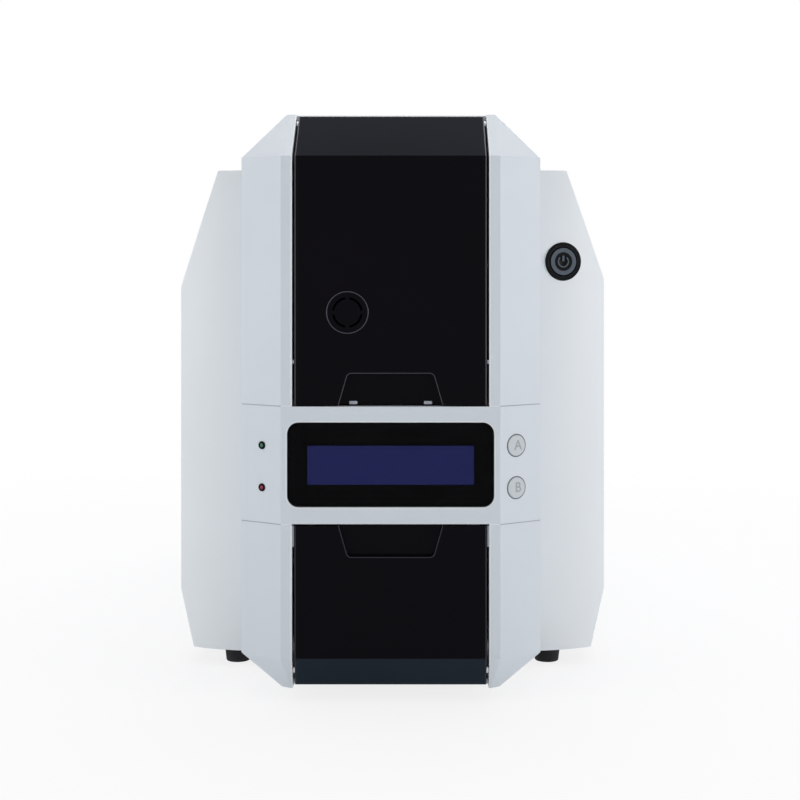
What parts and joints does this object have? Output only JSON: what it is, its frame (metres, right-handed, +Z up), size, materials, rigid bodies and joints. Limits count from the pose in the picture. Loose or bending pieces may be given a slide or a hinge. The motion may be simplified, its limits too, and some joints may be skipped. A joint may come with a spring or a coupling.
{
  "type": "id card printer",
  "caption": "Desktop card printer with an octagonal white spine, rounded side shells, dark hinged upper and lower covers, a display band and a lift-up lid.",
  "frame": {"origin": "middle of the footprint, on the table", "axes": "+X to the right of someone facing the front, +Y from front to back, +Z up"},
  "size_m": [0.1808, 0.365, 0.2296],
  "materials": {
    "white_case": "fine moulded texture",
    "rear_plate": "painted steel",
    "zinc_sheet": "zinc-plated sheet",
    "foot_rubber": "matt",
    "window_tint": "smoked clear",
    "display_module": "blue character display",
    "green_lens": "clear lens",
    "red_lens": "clear lens",
    "circuit_board": "solder mask",
    "switch_black": "satin",
    "bright_steel": "ground",
    "black_inner": "moulded",
    "cassette_blue": "moulded",
    "belt_rubber": "matt",
    "port_metal": "plated",
    "bush_bronze": "sintered",
    "cover_black": "gloss black",
    "head_dark": "anodised",
    "sink_aluminium": "extruded",
    "grey_trim": "satin",
    "platen_rubber": "ground rubber",
    "roller_rubber": "matt",
    "tacky_blue": "tacky",
    "spool_white": "moulded",
    "ribbon_film": "coated film"
  },
  "bodies": {
    "printer_body": {"left_shell": "white_case", "right_shell": "white_case", "upper_front_frame": "white_case", "control_panel": "white_case", "lower_front_frame": "white_case", "rear_top_cover": "white_case", "rear_panel": "rear_plate", "base_pan": "zinc_sheet", "feet": "foot_rubber", "display_window": "window_tint", "display_module": "display_module", "green_lamp": "green_lens", "red_lamp": "red_lens", "panel_boards": "circuit_board", "switch_body": "switch_black", "hinge_pins": "bright_steel", "chassis_left": "zinc_sheet", "chassis_right": "zinc_sheet", "tie_bars": "bright_steel", "card_hopper": "black_inner", "output_tray": "black_inner", "card_guide": "black_inner", "ribbon_cassette": "cassette_blue", "ribbon_web": "ribbon_film", "main_motor": "black_inner", "timing_belt": "belt_rubber", "ribbon_motor": "black_inner", "main_board": "circuit_board", "dc_inlet": "black_inner", "data_ports": "port_metal", "fan_frame": "black_inner", "roller_bushes": "bush_bronze", "case_screws": "bright_steel"},
    "upper_cover": {"upper_cover": "cover_black"},
    "lower_door": {"lower_door": "cover_black"},
    "top_lid": {"top_lid": "white_case", "head_bracket": "zinc_sheet", "print_head": "head_dark", "heat_sink": "sink_aluminium"},
    "lid_release": {"lid_release": "grey_trim"},
    "hopper_weight": {"hopper_weight": "black_inner"},
    "diverter_gate": {"diverter_gate": "bright_steel"},
    "button_a": {"button_a": "grey_trim"},
    "button_b": {"button_b": "grey_trim"},
    "power_button": {"power_button": "switch_black"},
    "fan_rotor": {"fan_rotor": "black_inner"},
    "platen_roller": {"platen_roller": "platen_rubber"},
    "pick_roller": {"pick_shaft": "bright_steel", "pick_tyres": "roller_rubber"},
    "exit_roller": {"exit_roller": "platen_rubber"},
    "front_roller": {"front_roller": "platen_rubber"},
    "rear_roller": {"rear_roller": "platen_rubber"},
    "motor_pulley": {"motor_pulley": "bright_steel"},
    "cleaning_roller": {"cleaning_roller": "tacky_blue"},
    "pinch_roller": {"pinch_roller": "bright_steel"},
    "supply_spool": {"supply_spool": "spool_white", "supply_film": "ribbon_film"},
    "takeup_spool": {"takeup_spool": "spool_white"}
  },
  "joints": [
    {"name": "upper_cover_hinge", "type": "hinge", "parent": "printer_body", "child": "upper_cover", "pos_m": [0, -0.15595, 0.22539], "axis": [-1, 0, 0], "range_deg": [0, 110]},
    {"name": "lower_door_hinge", "type": "hinge", "parent": "printer_body", "child": "lower_door", "pos_m": [0, -0.1763, 0.0114], "axis": [1, 0, 0], "range_deg": [0, 90]},
    {"name": "top_lid_hinge", "type": "hinge", "parent": "printer_body", "child": "top_lid", "pos_m": [0, 0.085, 0.2256], "axis": [-1, 0, 0], "range_deg": [0, 70]},
    {"name": "lid_release_press", "type": "slide", "parent": "top_lid", "child": "lid_release", "axis": [0, 0, -1], "range_m": [0, 0.0025], "stiffness_N_per_m": 400, "springref_m": -0.001},
    {"name": "hopper_weight_slide", "type": "slide", "parent": "printer_body", "child": "hopper_weight", "axis": [0, 0, 1], "range_m": [0, 0.067]},
    {"name": "diverter_gate_tilt", "type": "hinge", "parent": "printer_body", "child": "diverter_gate", "pos_m": [0, -0.079, 0.1158], "axis": [1, 0, 0], "range_deg": [0, 15]},
    {"name": "button_a_press", "type": "slide", "parent": "printer_body", "child": "button_a", "axis": [-0.5379, 0.843, 0], "range_m": [0, 0.0008], "stiffness_N_per_m": 500, "springref_m": -0.0005},
    {"name": "button_b_press", "type": "slide", "parent": "printer_body", "child": "button_b", "axis": [-0.5379, 0.843, 0], "range_m": [0, 0.0008], "stiffness_N_per_m": 500, "springref_m": -0.0005},
    {"name": "power_button_press", "type": "slide", "parent": "printer_body", "child": "power_button", "axis": [-0.2805, 0.9598, 0], "range_m": [0, 0.0015], "stiffness_N_per_m": 600, "springref_m": -0.0005},
    {"name": "fan_spin", "type": "hinge", "parent": "printer_body", "child": "fan_rotor", "pos_m": [0.062, 0.174, 0.122], "axis": [0, 1, 0], "continuous": true},
    {"name": "platen_spin", "type": "hinge", "parent": "printer_body", "child": "platen_roller", "pos_m": [0, 0.005, 0.1119], "axis": [1, 0, 0], "continuous": true},
    {"name": "pick_spin", "type": "hinge", "parent": "printer_body", "child": "pick_roller", "pos_m": [0, -0.103, 0.1102], "axis": [1, 0, 0], "continuous": true},
    {"name": "exit_spin", "type": "hinge", "parent": "printer_body", "child": "exit_roller", "pos_m": [0, -0.0845, 0.1], "axis": [1, 0, 0], "continuous": true},
    {"name": "front_roller_spin", "type": "hinge", "parent": "printer_body", "child": "front_roller", "pos_m": [0, -0.03, 0.1119], "axis": [1, 0, 0], "continuous": true},
    {"name": "rear_roller_spin", "type": "hinge", "parent": "printer_body", "child": "rear_roller", "pos_m": [0, 0.045, 0.1119], "axis": [1, 0, 0], "continuous": true},
    {"name": "motor_spin", "type": "hinge", "parent": "printer_body", "child": "motor_pulley", "pos_m": [0, 0.012, 0.066], "axis": [1, 0, 0], "continuous": true},
    {"name": "cleaning_spin", "type": "hinge", "parent": "printer_body", "child": "cleaning_roller", "pos_m": [0, -0.07, 0.1264], "axis": [1, 0, 0], "continuous": true},
    {"name": "pinch_spin", "type": "hinge", "parent": "printer_body", "child": "pinch_roller", "pos_m": [0, -0.03, 0.1239], "axis": [1, 0, 0], "continuous": true},
    {"name": "supply_spin", "type": "hinge", "parent": "printer_body", "child": "supply_spool", "pos_m": [0, -0.052, 0.15], "axis": [1, 0, 0], "continuous": true},
    {"name": "takeup_spin", "type": "hinge", "parent": "printer_body", "child": "takeup_spool", "pos_m": [0, 0.05, 0.15], "axis": [1, 0, 0], "continuous": true}
  ],
  "couplings": [
    {"joint": "pick_spin", "follows": "platen_spin", "ratio": 1},
    {"joint": "exit_spin", "follows": "platen_spin", "ratio": 1},
    {"joint": "front_roller_spin", "follows": "platen_spin", "ratio": 1},
    {"joint": "rear_roller_spin", "follows": "platen_spin", "ratio": 1},
    {"joint": "motor_spin", "follows": "platen_spin", "ratio": 1.3333}
  ]
}
